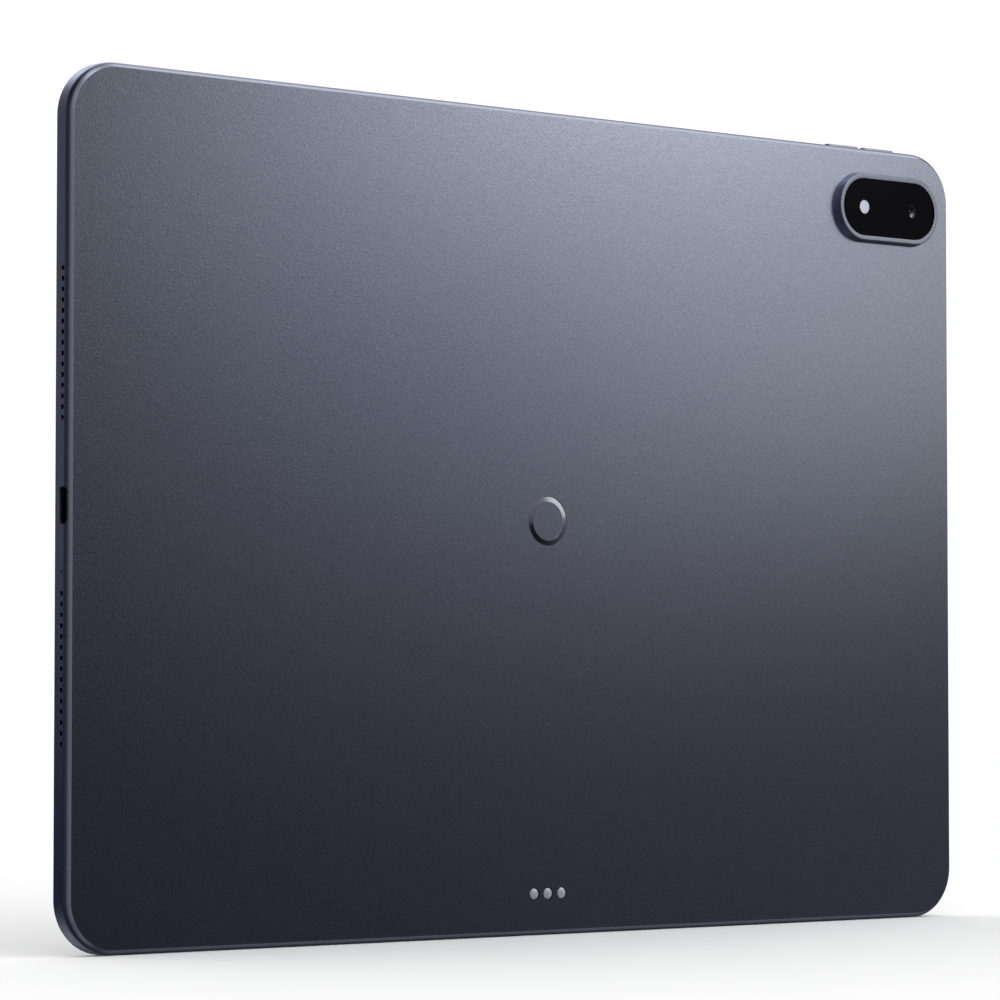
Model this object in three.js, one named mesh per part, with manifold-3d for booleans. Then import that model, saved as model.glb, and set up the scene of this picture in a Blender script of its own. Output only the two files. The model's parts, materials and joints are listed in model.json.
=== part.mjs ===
// A 13-inch tablet computer, standing upright in landscape on its lower long edge.
// Millimetres, +Z up. The screen faces -Y and the aluminium back faces +Y.
// +X is the short edge with the charging port; -X is the short edge with the power key.
// The origin is the bottom centre of the whole object's box.
//
// Every piece is drawn in the body's own frame, whose origin is the middle of the 6 mm body,
// and one group at the end lifts that frame onto the floor.

import * as THREE from "three";
import { mergeVertices } from "three/addons/utils/BufferGeometryUtils.js";
import Module from "manifold-3d";

const wasm = await Module();
wasm.setup();

// ---------------------------------------------------------------- driving dimensions

const BODY = { width: 289.6, height: 209.7, depth: 6.0, corner: 13.3 };
const SIDE = BODY.width / 2; // outer face of a short edge, along X
const TOP = BODY.height / 2; // outer face of a long edge, along Z
const BACK = BODY.depth / 2; // outer face of the back, along Y
const FRONT = -BODY.depth / 2; // outer face of the glass, along Y

const WALL = 2.0; // side walls of the housing
const BACK_WALL = 0.75;
const INNER_BACK = BACK - BACK_WALL;
const BACK_EDGE = { size: 1.1, depth: 1.5 }; // rounding between the back and the sides
const RIM = { plane: -2.85, inset: 1.2, rounding: 0.4 }; // metal rim round the glass
const LEDGE = -1.55; // step in the walls that the display frame lies on

const GLASS = { inset: 1.7, back: -2.15, rounding: 0.25 };
const FRAME = { inset: 1.3, lip: 0.32, shelf: 1.3, top: -2.85, step: -2.1, bottom: -1.6 };
const SCREEN = { width: 274.4, height: 196.0, front: -2.1, middle: -1.4, back: -0.5 };

const ISLAND = { x: -119.9, z: 88.45, length: 37.2, height: 18.3, proud: 2.0 };
const ISLAND_GLASS = { length: 34.2, height: 15.6, thickness: 0.55, sunk: 0.05 };
const LENS_X = -128.9;
const FLASH_X = -110.6;
const LENS_HOLE = 4.6; // radius
const FLASH_HOLE = 2.4; // radius
const FOCUS_TRAVEL = 0.25;

const KEY = { length: 11.8, width: 2.0, proud: 0.5, travel: 0.25, clearance: 0.2 };
const KEY_FLANGE = { length: 13.2, width: 2.8, outer: 2.1, inner: 2.7 }; // depths below the edge
const KEY_NUB = { radius: 0.9, inner: 3.0 };
const SWITCH = { radius: 1.6, outer: 3.35, board: 3.65, inner: 3.95, width: 2.8 };
const VOLUME_X = { up: -119.65, down: -106.35 };
const POWER_Z = 70;

const HOLES = { count: 15, pitch: 2.5, radius: 0.65, y: 0.3, groupZ: 38 };
const MICROPHONE = { z: -15.4, radius: 0.35 };
const SPEAKER = { inner: 116, outer: 140.2, nozzle: 141.8, length: 41, front: -0.35, back: 2.15 };
const PORT = { y: 0.65, cutLength: 9.0, cutHeight: 3.2, shell: 0.2, depth: 7.0, recess: 0.3 };
const PLUG_SPACE = { length: 8.34, height: 2.56 }; // inside of the port's metal shell
const TONGUE = { length: 6.69, thickness: 0.7, recess: 0.9 };

const CONTACT = { z: -94.35, pitch: 4.5, radius: 1.4, proud: 0.08, collar: 1.75 };
const EMBLEM = { outer: 6.3, inner: 4.9, depth: 0.3 };

const CORNER_PAD = { inner: 112, front: -0.4, top: -90.5 }; // thick metal in the lower corners
const BOARD = { front: 0.3, back: 1.0 }; // both circuit boards lie in this plane
const BOSS = { radius: 2.0, pilot: 0.8 };
const SCREW = { head: 1.5, shaft: 0.7, headFront: -0.2, headBack: 0.25, tip: 2.05 };
const BOARD_SCREWS = [
  [-90, 48],
  [-90, 93],
  [65, 48],
  [65, 93],
];
const PORT_SCREWS = [
  [126, -12],
  [126, 12],
];

const GAP = 0.05; // bond line between pieces that lie on each other
const FAR = 20; // how far a cutter runs past the body
const ARC_STEPS = 5; // half the straight steps in each arc of an outline
const CIRCLE_STEPS = { small: 6, large: 10 }; // half the straight steps in a whole circle
const SMALL_CIRCLE = 1.0; // radius up to which a circle counts as small

// ---------------------------------------------------------------- materials

function material(color, roughness, metalness) {
  return new THREE.MeshStandardMaterial({ color, roughness, metalness });
}

const MATERIALS = {
  body: material(0x6d7487, 0.38, 1.0),
  polished: material(0xc9ccd6, 0.15, 1.0),
  blackGlass: material(0x08090c, 0.05, 0.0),
  blackPlastic: material(0x17181b, 0.6, 0.0),
  diffuser: material(0xf2efe4, 0.35, 0.0),
  steel: material(0xb8babd, 0.3, 1.0),
  contact: material(0xc4c6ce, 0.25, 1.0),
  board: material(0x12352b, 0.55, 0.0),
  flex: material(0x3b2414, 0.45, 0.0),
  cell: material(0x1d1e20, 0.5, 0.2),
  graphite: material(0x2c2d30, 0.7, 0.3),
  magnet: material(0x8d9095, 0.35, 1.0),
  panel: material(0x0b0c10, 0.2, 0.0),
  white: material(0xdfe1e2, 0.5, 0.0),
};

// ---------------------------------------------------------------- outlines

function roundedRect(width, height, radius, u = 0, v = 0) {
  const [du, dv] = [width / 2 - radius, height / 2 - radius];
  const shape = new THREE.Shape();
  shape.absarc(u + du, v + dv, radius, 0, Math.PI / 2);
  shape.absarc(u - du, v + dv, radius, Math.PI / 2, Math.PI);
  shape.absarc(u - du, v - dv, radius, Math.PI, (3 * Math.PI) / 2);
  shape.absarc(u + du, v - dv, radius, (3 * Math.PI) / 2, 2 * Math.PI);
  return shape;
}

// A bar with round ends that lies along u when long is "u", and along v when it is "v".
function pill(length, width, u = 0, v = 0, long = "u") {
  const radius = width / 2;
  const half = length / 2 - radius;
  const shape = new THREE.Shape();
  if (long === "u") {
    shape.absarc(u + half, v, radius, -Math.PI / 2, Math.PI / 2);
    shape.absarc(u - half, v, radius, Math.PI / 2, (3 * Math.PI) / 2);
  } else {
    shape.absarc(u, v + half, radius, 0, Math.PI);
    shape.absarc(u, v - half, radius, Math.PI, 2 * Math.PI);
  }
  return shape;
}

function circle(radius, u = 0, v = 0) {
  const shape = new THREE.Shape().absarc(u, v, radius, 0, 2 * Math.PI);
  shape.userData = { steps: radius > SMALL_CIRCLE ? CIRCLE_STEPS.large : CIRCLE_STEPS.small };
  return shape;
}

// The body's outline seen from the front, pulled in by inset.
function outline(inset) {
  const { width, height, corner } = BODY;
  return roundedRect(width - 2 * inset, height - 2 * inset, corner - inset);
}

// ---------------------------------------------------------------- solids

const WELD = 1e-4;

// A closed three.js geometry as a manifold-3d solid.
function solid(geometry) {
  const bare = geometry.index ? geometry.toNonIndexed() : geometry.clone();
  bare.deleteAttribute("normal");
  bare.deleteAttribute("uv");
  const merged = mergeVertices(bare, WELD);
  const corners = Array.from(merged.index.array);
  const triangles = [];
  for (let i = 0; i < corners.length; i += 3) {
    const [a, b, c] = corners.slice(i, i + 3);
    if (a !== b && b !== c && c !== a) triangles.push(a, b, c);
  }
  return new wasm.Manifold(
    new wasm.Mesh({
      numProp: 3,
      vertProperties: merged.attributes.position.array,
      triVerts: new Uint32Array(triangles),
    }),
  );
}

// An outline's own axes and its direction of travel, for a prism along each body axis.
const DIRECTIONS = {
  x: [new THREE.Vector3(0, 1, 0), new THREE.Vector3(0, 0, 1), new THREE.Vector3(1, 0, 0)],
  y: [new THREE.Vector3(1, 0, 0), new THREE.Vector3(0, 0, 1), new THREE.Vector3(0, -1, 0)],
  z: [new THREE.Vector3(1, 0, 0), new THREE.Vector3(0, 1, 0), new THREE.Vector3(0, 0, 1)],
};

// An outline carried along an axis from low to high. The outline's plane is (Y, Z) for x,
// (X, Z) for y and (X, Y) for z. Both ends are rounded by size across and depth along.
function prism(shape, axis, low, high, size = 0, depth = size) {
  const steps = shape.userData?.steps ?? ARC_STEPS;
  const geometry = new THREE.ExtrudeGeometry(shape, {
    depth: high - low - 2 * depth,
    bevelEnabled: size > 0,
    bevelSize: size,
    bevelOffset: -size,
    bevelThickness: depth,
    bevelSegments: 3,
    curveSegments: steps,
  });
  const start = axis === "y" ? high - depth : low + depth;
  geometry.applyMatrix4(new THREE.Matrix4().makeBasis(...DIRECTIONS[axis]));
  geometry.translate(
    axis === "x" ? start : 0,
    axis === "y" ? start : 0,
    axis === "z" ? start : 0,
  );
  return solid(geometry);
}

function block(x, y, z) {
  const geometry = new THREE.BoxGeometry(x[1] - x[0], y[1] - y[0], z[1] - z[0]);
  geometry.translate((x[0] + x[1]) / 2, (y[0] + y[1]) / 2, (z[0] + z[1]) / 2);
  return solid(geometry);
}

// A span measured from an outer edge inwards, on the positive or the negative side.
function span(side, outer, inner) {
  return side > 0 ? [outer - inner, outer] : [-outer, -outer + inner];
}

// ---------------------------------------------------------------- the object's pieces

const body = new THREE.Group();

function piece(name, shape, look) {
  const made = shape.getMesh();
  const geometry = new THREE.BufferGeometry();
  const positions = new Float32Array(made.vertProperties);
  geometry.setAttribute("position", new THREE.BufferAttribute(positions, made.numProp));
  geometry.setIndex(new THREE.BufferAttribute(new Uint32Array(made.triVerts), 1));
  geometry.computeVertexNormals();
  const mesh = new THREE.Mesh(geometry, look);
  mesh.name = name;
  body.add(mesh);
}

// Centre heights of the sound holes in one group.
function holeHeights(groupZ) {
  const first = groupZ - ((HOLES.count - 1) / 2) * HOLES.pitch;
  return Array.from({ length: HOLES.count }, (_, k) => first + k * HOLES.pitch);
}

// One-piece milled housing: back, side walls, screw bosses and every opening in them.
function rearHousing() {
  const { size, depth } = BACK_EDGE;
  const roundBack = prism(outline(0), "y", -FAR, BACK, size, depth);
  const roundRim = prism(outline(0), "y", RIM.plane, FAR, RIM.rounding);
  let shell = roundBack
    .intersect(roundRim)
    .subtract(prism(outline(RIM.inset), "y", -FAR, LEDGE))
    .subtract(prism(outline(WALL), "y", -FAR, INNER_BACK));

  // Each drill runs across the cavity and opens the same hole in both short edges.
  for (const groupZ of [HOLES.groupZ, -HOLES.groupZ]) {
    for (const z of holeHeights(groupZ)) {
      const drill = circle(HOLES.radius, HOLES.y, z);
      shell = shell.subtract(prism(drill, "x", -SIDE - FAR, SIDE + FAR));
    }
  }
  const microphoneHole = circle(MICROPHONE.radius, HOLES.y, MICROPHONE.z);
  shell = shell.subtract(prism(microphoneHole, "x", 0, SIDE + FAR));
  const portHole = pill(PORT.cutLength, PORT.cutHeight, PORT.y, 0, "v");
  shell = shell.subtract(prism(portHole, "x", 0, SIDE + FAR));

  const slotLength = KEY.length + 2 * KEY.clearance;
  const slotWidth = KEY.width + 2 * KEY.clearance;
  for (const x of Object.values(VOLUME_X)) {
    shell = shell.subtract(prism(pill(slotLength, slotWidth, x, 0), "z", 0, TOP + FAR));
  }
  const powerSlot = pill(slotLength, slotWidth, 0, POWER_Z, "v");
  shell = shell.subtract(prism(powerSlot, "x", -SIDE - FAR, 0));

  for (const [x, radius] of [
    [LENS_X, LENS_HOLE],
    [FLASH_X, FLASH_HOLE],
  ]) {
    shell = shell.subtract(prism(circle(radius, x, ISLAND.z), "y", 0, FAR));
  }
  for (const x of contactPlaces()) {
    const hole = circle(CONTACT.collar + 2 * GAP, x, CONTACT.z);
    shell = shell.subtract(prism(hole, "y", 0, FAR));
  }
  const groove = ringPrism(EMBLEM.outer + GAP, EMBLEM.inner - GAP, BACK - EMBLEM.depth, FAR);
  shell = shell.subtract(groove);

  // The lower corners, which a fall hits first, are left thick inside.
  for (const x of [
    [CORNER_PAD.inner, SIDE],
    [-SIDE, -CORNER_PAD.inner],
  ]) {
    const pad = prism(outline(WALL - GAP), "y", CORNER_PAD.front, INNER_BACK + GAP);
    const corner = block(x, [-FAR, FAR], [-TOP, CORNER_PAD.top]);
    shell = shell.add(pad.intersect(corner));
  }

  for (const [x, z] of [...BOARD_SCREWS, ...PORT_SCREWS]) {
    const post = prism(circle(BOSS.radius, x, z), "y", BOARD.back + GAP, INNER_BACK + GAP);
    const pilot = prism(circle(BOSS.pilot, x, z), "y", 0, INNER_BACK);
    shell = shell.add(post).subtract(pilot);
  }
  return shell;
}

function ringPrism(outer, inner, low, high) {
  return prism(circle(outer), "y", low, high).subtract(
    prism(circle(inner), "y", low - 1, high + 1),
  );
}

// Plastic frame: a shelf under the glass with a thin lip that shows round its edge.
function displayFrame() {
  const { inset, lip, shelf, top, step, bottom } = FRAME;
  return prism(outline(inset), "y", top, bottom)
    .subtract(prism(outline(inset + lip), "y", -FAR, step))
    .subtract(prism(outline(inset + shelf), "y", -FAR, FAR));
}

function addDisplay() {
  const { width, height, front, middle, back } = SCREEN;
  const glass = prism(outline(GLASS.inset), "y", FRONT, GLASS.back, GLASS.rounding);
  piece("cover_glass", glass, MATERIALS.blackGlass);
  piece("display_frame", displayFrame(), MATERIALS.blackPlastic);
  const x = [-width / 2, width / 2];
  const z = [-height / 2, height / 2];
  piece("display_panel", block(x, [front, middle - GAP], z), MATERIALS.panel);
  piece("backlight_unit", block(x, [middle, back], z), MATERIALS.white);
  const driver = block([-70, 70], [back + GAP, -0.1], [-98, -90]);
  piece("display_driver_board", driver, MATERIALS.board);
  const ribbon = [back + GAP, back + GAP + 0.12];
  const display = block([70.1, 84], ribbon, [-96, -91])
    .add(block([78, 84], ribbon, [-96, 60]))
    .add(block([64, 84], ribbon, [55, 60]));
  piece("display_flex", display, MATERIALS.flex);
}

// Raised metal surround of the rear camera, with a seat for its glass and two holes.
function cameraRing() {
  const { x, z, length, height, proud } = ISLAND;
  const seat = BACK + proud - ISLAND_GLASS.sunk - ISLAND_GLASS.thickness - GAP;
  const rounding = 0.6;
  const outside = prism(pill(length, height, x, z), "y", BACK - FAR, BACK + proud, rounding);
  const below = block([-SIDE, SIDE], [-2 * FAR, BACK + GAP], [-TOP, TOP]);
  const recess = pill(ISLAND_GLASS.length, ISLAND_GLASS.height, x, z);
  return outside
    .subtract(below)
    .subtract(prism(recess, "y", seat, FAR))
    .subtract(prism(circle(LENS_HOLE, LENS_X, z), "y", 0, FAR))
    .subtract(prism(circle(FLASH_HOLE, FLASH_X, z), "y", 0, FAR));
}

// Camera block: a square base under the back wall and a round turret that holds the lens.
const CAMERA = { half: 4.3, front: -0.35, base: 2.15, turret: 4.1, turretTop: 3.8 };
const BARREL = { radius: 3.1, bore: 3.25, back: 3.85, front: 0.8, floor: 0.5 };

function addRearCamera() {
  const { x, z, proud } = ISLAND;
  piece("camera_island_ring", cameraRing(), MATERIALS.body);

  const glassBack = BACK + proud - ISLAND_GLASS.sunk;
  const clearance = 0.3;
  const cover = pill(ISLAND_GLASS.length - clearance, ISLAND_GLASS.height - clearance, x, z);
  const coverGlass = prism(cover, "y", glassBack - ISLAND_GLASS.thickness, glassBack);
  piece("camera_cover_glass", coverGlass, MATERIALS.blackGlass);

  const glassFront = glassBack - ISLAND_GLASS.thickness;
  const dome = prism(circle(1.95, FLASH_X, z), "y", INNER_BACK + GAP, glassFront - GAP);
  piece("flash_lens", dome, MATERIALS.diffuser);
  const led = block([FLASH_X - 1.8, FLASH_X + 1.8], [1.2, INNER_BACK - GAP], [z - 1.8, z + 1.8]);
  piece("flash_led", led, MATERIALS.white);

  const square = [LENS_X - CAMERA.half, LENS_X + CAMERA.half];
  const base = block(square, [CAMERA.front, CAMERA.base], [z - CAMERA.half, z + CAMERA.half]);
  const turret = prism(circle(CAMERA.turret, LENS_X, z), "y", 1, CAMERA.turretTop);
  const bore = prism(circle(BARREL.bore, LENS_X, z), "y", BARREL.floor, FAR);
  piece("camera_module", base.add(turret).subtract(bore), MATERIALS.blackPlastic);

  const tube = prism(circle(BARREL.radius, LENS_X, z), "y", BARREL.front, BARREL.back);
  const lensSeat = prism(circle(1.9, LENS_X, z), "y", BARREL.back - 0.9, FAR);
  piece("focus_barrel", tube.subtract(lensSeat), MATERIALS.blackPlastic);
  const element = prism(circle(1.8, LENS_X, z), "y", BARREL.back - 0.8, BARREL.back, 0.5, 0.3);
  piece("lens_element", element, MATERIALS.blackGlass);

  const flex = block([LENS_X + CAMERA.half + GAP, -88], [0.08, 0.2], [z - 2, z + 2]);
  piece("camera_flex", flex, MATERIALS.flex);
}

// Front camera, in the strip between the display and the upper wall.
function addFrontCamera() {
  const z = (SCREEN.height / 2 + TOP - WALL - FRAME.shelf / 2) / 2;
  const base = block([-2, 2], [-1.8, 0.6], [z - 1.9, z + 1.9]);
  const barrel = prism(circle(1.3, 0, z), "y", SCREEN.front, 0);
  piece("front_camera_module", base.add(barrel), MATERIALS.blackPlastic);
}

// ---- keys: each cap is carried along its own axis, out of the top or the -X edge

function keyCap(axis, place) {
  const { length, width, proud } = KEY;
  const edge = axis === "z" ? TOP : SIDE;
  const long = axis === "z" ? "u" : "v";
  const at = (size, across) =>
    axis === "z" ? pill(size, across, place, 0, long) : pill(size, across, 0, place, long);
  const spot = (radius) =>
    axis === "z" ? circle(radius, place, 0) : circle(radius, 0, place);
  // Depths below the edge become a span on +Z for the top and on -X for the side.
  const levels = (outer, inner) =>
    axis === "z" ? [edge - inner, edge - outer] : [-edge + outer, -edge + inner];
  const overlap = 0.3;
  const cap = prism(at(length, width), axis, ...levels(-proud, KEY_FLANGE.outer + overlap), 0.3);
  const flange = prism(
    at(KEY_FLANGE.length, KEY_FLANGE.width),
    axis,
    ...levels(KEY_FLANGE.outer, KEY_FLANGE.inner),
  );
  const nub = prism(spot(KEY_NUB.radius), axis, ...levels(KEY_FLANGE.inner - 0.1, KEY_NUB.inner));
  return cap.add(flange).add(nub);
}

// A strip of board with one domed switch behind each key.
function switchBoard(axis, places, overhang) {
  const edge = axis === "z" ? TOP : SIDE;
  const levels = (outer, inner) =>
    axis === "z" ? [edge - inner, edge - outer] : [-edge + outer, -edge + inner];
  const half = SWITCH.width / 2;
  const run = [Math.min(...places) - overhang, Math.max(...places) + overhang];
  const across = [-half, half];
  const level = levels(SWITCH.board, SWITCH.inner);
  const strip = axis === "z" ? block(run, across, level) : block(level, across, run);
  return places.reduce((made, place) => {
    const spot = axis === "z" ? circle(SWITCH.radius, place, 0) : circle(SWITCH.radius, 0, place);
    const trim = half - GAP;
    const dome = prism(spot, axis, ...levels(SWITCH.outer, SWITCH.board + 0.1));
    const keep = block([-SIDE, SIDE], [-trim, trim], [-TOP, TOP]);
    return made.add(dome.intersect(keep));
  }, strip);
}

function addKeys() {
  piece("volume_up_key", keyCap("z", VOLUME_X.up), MATERIALS.body);
  piece("volume_down_key", keyCap("z", VOLUME_X.down), MATERIALS.body);
  piece("power_key", keyCap("x", POWER_Z), MATERIALS.body);
  const volume = switchBoard("z", Object.values(VOLUME_X), 7);
  piece("volume_switch_board", volume, MATERIALS.flex);
  piece("power_switch_board", switchBoard("x", [POWER_Z], 8), MATERIALS.flex);
}

// ---- sound

function speaker(side, z) {
  const { inner, outer, nozzle, length, front, back } = SPEAKER;
  const across = side > 0 ? [inner, outer] : [-outer, -inner];
  const reach = side > 0 ? [inner + 5, nozzle] : [-nozzle, -inner - 5];
  const throat = HOLES.y + 0.9;
  const box = block(across, [front, back], [z - length / 2, z + length / 2]);
  return box.add(block(reach, [-0.2, throat], [z - 18.5, z + 18.5]));
}

function addSpeakers() {
  for (const [sideName, side] of [
    ["right", 1],
    ["left", -1],
  ]) {
    for (const [levelName, z] of [
      ["upper", HOLES.groupZ],
      ["lower", -HOLES.groupZ],
    ]) {
      piece(`speaker_${sideName}_${levelName}`, speaker(side, z), MATERIALS.blackPlastic);
      const inside = span(side, SIDE - WALL - 2 * GAP, 0.3);
      const mesh = prism(pill(37.5, 2.2, HOLES.y, z, "v"), "x", ...inside);
      piece(`speaker_mesh_${sideName}_${levelName}`, mesh, MATERIALS.steel);
    }
  }
  const z = MICROPHONE.z;
  piece("microphone", block([139.6, 142.5], [-0.7, 1.3], [z - 1.6, z + 1.6]), MATERIALS.steel);
}

// ---- charging port

function addPort() {
  const mouth = SIDE - PORT.recess;
  const rear = mouth - PORT.depth;
  const rearWall = 0.6;
  const { length, height } = PLUG_SPACE;
  const twoWalls = 2 * PORT.shell;
  const outside = pill(length + twoWalls, height + twoWalls, PORT.y, 0, "v");
  const hollow = pill(length, height, PORT.y, 0, "v");
  const shell = prism(outside, "x", rear, mouth).subtract(
    prism(hollow, "x", rear + rearWall, SIDE + FAR),
  );
  piece("port_shell", shell, MATERIALS.steel);
  const halfTongue = TONGUE.thickness / 2;
  const tongue = block(
    [rear + rearWall + GAP, mouth - TONGUE.recess],
    [PORT.y - halfTongue, PORT.y + halfTongue],
    [-TONGUE.length / 2, TONGUE.length / 2],
  );
  piece("port_tongue", tongue, MATERIALS.blackPlastic);

  const sheet = [BOARD.front, BOARD.back];
  const wide = block([120.5, rear - 0.2], sheet, [-16.5, 16.5]);
  const arm = block([rear - 1, 139.4], sheet, [-16.5, -8]);
  const portBoard = drillScrewHoles(wide.add(arm), PORT_SCREWS);
  piece("port_board", portBoard, MATERIALS.board);

  const ribbon = [0.1, 0.22];
  const flex = block([110, 122], ribbon, [-10, -4])
    .add(block([110, 114], ribbon, [-10, 58]))
    .add(block([68, 114], ribbon, [53, 58]));
  piece("port_flex", flex, MATERIALS.flex);
}

// ---- circuit boards, battery and what is fixed to the back wall

function drillScrewHoles(board, places) {
  const radius = 1.0;
  return places.reduce(
    (made, [x, z]) => made.subtract(prism(circle(radius, x, z), "y", -FAR, FAR)),
    board,
  );
}

// A pressed lid, open towards the board.
function shieldCan(x, z) {
  const [low, high] = [BOARD.back + GAP, 1.95];
  const sheet = 0.2;
  const within = ([a, b]) => [a + sheet, b - sheet];
  return block(x, [low, high], z).subtract(block(within(x), [0, high - sheet], within(z)));
}

function addBoards() {
  const plate = block([-95, 70], [BOARD.front, BOARD.back], [44, 97]);
  piece("logic_board", drillScrewHoles(plate, BOARD_SCREWS), MATERIALS.board);
  const chip = block([-44, -26], [BOARD.back + GAP, 1.6], [62, 80]);
  piece("processor", chip, MATERIALS.panel);
  piece("processor_shield", shieldCan([-60, -10], [52, 90]), MATERIALS.steel);
  piece("radio_shield", shieldCan([10, 55], [56, 88]), MATERIALS.steel);
  piece("heat_spreader", block([-70, 58], [2.0, 2.15], [51.5, 89]), MATERIALS.graphite);
}

function addBattery() {
  const [front, back] = [-0.2, 2.1];
  for (const [name, side] of [
    ["battery_left", -1],
    ["battery_right", 1],
  ]) {
    const pouch = roundedRect(106, 126, 3, side * 55, -25);
    piece(name, prism(pouch, "y", front, back, 0.6), MATERIALS.cell);
  }
  piece("battery_board", block([-50, 50], [BOARD.front, 0.95], [39, 43]), MATERIALS.board);
}

// Every screw holds a board down on its boss: a pan head over a plain shaft.
function addScrews() {
  const { head, shaft, headFront, headBack, tip } = SCREW;
  const profile = [
    [0, headFront],
    [head - 0.3, headFront],
    [head, headFront + 0.2],
    [head, headBack],
    [shaft, headBack],
    [shaft, tip],
    [0, tip],
  ].map(([r, y]) => new THREE.Vector2(r, y));
  const turned = new THREE.LatheGeometry(profile, 12);
  const place = ([x, z]) => solid(turned.clone().translate(x, 0, z));
  BOARD_SCREWS.forEach((at, k) => piece(`board_screw_${k + 1}`, place(at), MATERIALS.steel));
  PORT_SCREWS.forEach((at, k) => piece(`port_screw_${k + 1}`, place(at), MATERIALS.steel));
}

// ---- keyboard contacts, magnets, antennas and emblem

function contactPlaces() {
  return [CONTACT.pitch, 0, -CONTACT.pitch];
}

function addContacts() {
  const z = CONTACT.z;
  const seat = INNER_BACK - 0.35;
  let carrier = block([-9.5, 9.5], [1.3, INNER_BACK - GAP], [z - 3, z + 3]);
  for (const x of contactPlaces()) {
    carrier = carrier
      .add(prism(circle(CONTACT.collar, x, z), "y", 1.5, BACK - 0.03))
      .subtract(prism(circle(CONTACT.radius + GAP, x, z), "y", seat, FAR));
  }
  piece("contact_carrier", carrier, MATERIALS.blackPlastic);
  contactPlaces().forEach((x, k) => {
    const pad = prism(circle(CONTACT.radius, x, z), "y", seat + GAP, BACK + CONTACT.proud, 0.3, 0.12);
    piece(`contact_pad_${k + 1}`, pad, MATERIALS.contact);
  });
  piece("contact_flex", block([-1.6, 1.6], [1.07, 1.19], [-96, 47]), MATERIALS.flex);
}

function addFixtures() {
  for (const [name, x] of [
    ["keyboard_magnet_left", [-100, -30]],
    ["keyboard_magnet_right", [30, 100]],
  ]) {
    piece(name, block(x, [0.2, 2.1], [-101, -92]), MATERIALS.magnet);
  }
  const across = SIDE - WALL - 0.3;
  const upper = block(span(1, across, 3), [-1.4, 1.8], [62, 90]);
  const lower = block(span(-1, across, 3), [-1.4, 1.8], [-90, -62]);
  piece("antenna_right", upper, MATERIALS.blackPlastic);
  piece("antenna_left", lower, MATERIALS.blackPlastic);
  const ring = ringPrism(EMBLEM.outer, EMBLEM.inner, BACK - EMBLEM.depth + GAP, BACK);
  piece("emblem_ring", ring, MATERIALS.polished);
}

// ---------------------------------------------------------------- assembly

piece("rear_housing", rearHousing(), MATERIALS.body);
addDisplay();
addRearCamera();
addFrontCamera();
addKeys();
addSpeakers();
addPort();
addBoards();
addBattery();
addScrews();
addContacts();
addFixtures();

// The box reaches past the body by the power key on -X and by the camera island on +Y.
body.position.set(KEY.proud / 2, -ISLAND.proud / 2, TOP);

const tablet = new THREE.Group();
tablet.add(body);

export default tablet;
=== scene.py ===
"""The looks of a tablet computer that stands upright on its lower long edge.

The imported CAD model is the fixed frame: X runs along the body, the screen faces -Y, the
aluminium back faces +Y and Z is up, all in metres. Every outer piece is drawn again here
with fine roundings, in the body's own millimetres, and rides on its CAD body.
"""

import json
from math import cos, pi, radians, sin

import bmesh
import bpy
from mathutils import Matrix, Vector

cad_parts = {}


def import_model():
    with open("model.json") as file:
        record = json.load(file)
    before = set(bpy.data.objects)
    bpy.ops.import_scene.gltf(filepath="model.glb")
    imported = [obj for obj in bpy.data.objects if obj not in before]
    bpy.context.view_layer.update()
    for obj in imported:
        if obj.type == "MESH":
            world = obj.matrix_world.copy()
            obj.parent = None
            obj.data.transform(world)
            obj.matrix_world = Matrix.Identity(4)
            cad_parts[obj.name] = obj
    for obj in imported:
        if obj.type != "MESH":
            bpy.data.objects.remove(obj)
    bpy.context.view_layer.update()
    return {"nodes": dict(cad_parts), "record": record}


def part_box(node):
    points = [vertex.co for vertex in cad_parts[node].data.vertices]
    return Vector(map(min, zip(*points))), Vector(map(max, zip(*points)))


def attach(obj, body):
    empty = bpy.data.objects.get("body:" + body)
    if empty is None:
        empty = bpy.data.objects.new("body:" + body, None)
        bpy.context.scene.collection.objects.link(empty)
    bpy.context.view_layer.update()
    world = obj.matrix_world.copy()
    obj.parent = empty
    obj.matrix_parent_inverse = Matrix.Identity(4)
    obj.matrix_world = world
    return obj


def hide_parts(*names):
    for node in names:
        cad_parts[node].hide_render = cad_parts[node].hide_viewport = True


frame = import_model()

MM = 0.001
NOISE_LOW, NOISE_HIGH = 0.3, 0.7  # where nearly all of a noise lies

# ------------------------------------------------------------------ places, from the frame


def middle(node):
    """The middle of a node's box, in the shared frame."""
    low, high = map(Vector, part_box(node))
    return (low + high) / 2


def local(point):
    """A point of the shared frame, in the body's own millimetres."""
    return (Vector(point) - CENTRE) / MM


def span(node, axis):
    """A node's lowest and highest place along an axis, in the body's own millimetres."""
    low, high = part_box(node)
    return local(low)[axis], local(high)[axis]


GLASS_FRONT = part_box("cover_glass")[0][1]
HOUSING_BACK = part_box("rear_housing")[1][1]
CENTRE = middle("rear_housing")
CENTRE.y = (GLASS_FRONT + HOUSING_BACK) / 2

# ------------------------------------------------------------------ driving dimensions, mm

WIDTH = span("rear_housing", 0)[1] * 2
HEIGHT = span("rear_housing", 2)[1] * 2
BACK = span("rear_housing", 1)[1]
FRONT = -BACK
CORNER = 13.3
WALL = 2.0
INNER_BACK = BACK - 0.75
BEYOND = 1.0  # how far a cutter runs past what it cuts

RIM = -2.85  # the metal rim round the glass, along Y
LEDGE = -1.55  # the step that the display frame lies on, along Y
LIP_INSET = 1.2
SHOULDER_RADIUS = 2.2
SHOULDER_TURN = 44  # degrees
CHAMFER_FRONT = 2.42  # where the shoulder ends and the chamfer starts, along Y
CHAMFER_WIDTH = 0.675  # seen from the back

GLASS_INSET = 1.7
FRONT_WINDOW = 1.42  # radius

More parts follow.
